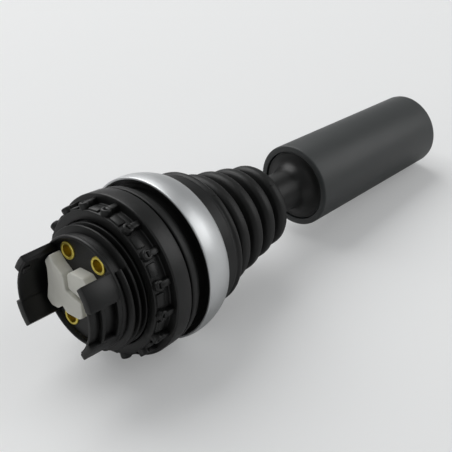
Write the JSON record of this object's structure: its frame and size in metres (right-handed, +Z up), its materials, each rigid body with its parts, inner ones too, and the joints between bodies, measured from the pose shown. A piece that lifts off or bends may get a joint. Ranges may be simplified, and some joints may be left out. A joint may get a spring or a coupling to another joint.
{
  "type": "industrial joystick",
  "caption": "Panel joystick with a tilting tubular handle, rubber bellows, metal bezel, lock nut and rear plungers that work switch contacts.",
  "frame": {"origin": "on the stick's axis, in the plane where the front face of a panel meets the seal", "axes": "+X along the stick towards the handle, +Z up and along the axis that the stick tilts about"},
  "size_m": [0.0965, 0.0298, 0.0298],
  "materials": {
    "black_plastic": "matte moulded",
    "grey_plastic": "fine matte",
    "light_grey_plastic": "satin moulded",
    "black_rubber": "matte rubber",
    "satin_silver": "satin",
    "brass": "bright",
    "steel": "plain"
  },
  "bodies": {
    "housing": {"housing_barrel": "black_plastic", "brass_sockets": "brass", "panel_seal": "black_rubber", "bezel_ring": "satin_silver", "bellows": "black_rubber", "bellows_band": "steel", "pivot_carrier": "black_plastic", "pivot_pin": "steel", "left_plunger_spring": "steel", "right_plunger_spring": "steel"},
    "nut": {"lock_nut": "black_plastic"},
    "stick": {"lever_hub": "black_plastic", "hub_bushes": "brass", "lever_shaft": "steel", "cross_pin": "steel", "stem_sleeve": "black_plastic", "handle_grip": "grey_plastic", "grip_insert": "black_plastic", "rocker": "steel", "rocker_screw": "steel"},
    "left_plunger": {"left_plunger": "light_grey_plastic"},
    "right_plunger": {"right_plunger": "light_grey_plastic"}
  },
  "joints": [
    {"name": "stick_tilt", "type": "hinge", "parent": "housing", "child": "stick", "pos_m": [0.003, 0, 0], "axis": [0, 0, 1], "range_deg": [-13, 13], "stiffness_Nm_per_rad": 0.5, "deforming": ["bellows"]},
    {"name": "left_plunger_slide", "type": "slide", "parent": "housing", "child": "left_plunger", "axis": [-1, 0, 0], "range_m": [-0.00115, 0.00115], "deforming": ["left_plunger_spring"]},
    {"name": "right_plunger_slide", "type": "slide", "parent": "housing", "child": "right_plunger", "axis": [-1, 0, 0], "range_m": [-0.00115, 0.00115], "deforming": ["right_plunger_spring"]},
    {"name": "nut_turn", "type": "hinge", "parent": "housing", "child": "nut", "pos_m": [-0.0035, 0, 0], "axis": [1, 0, 0], "continuous": true}
  ],
  "couplings": [
    {"joint": "left_plunger_slide", "follows": "stick_tilt", "m_per_rad": 0.005},
    {"joint": "right_plunger_slide", "follows": "stick_tilt", "m_per_rad": -0.005}
  ]
}
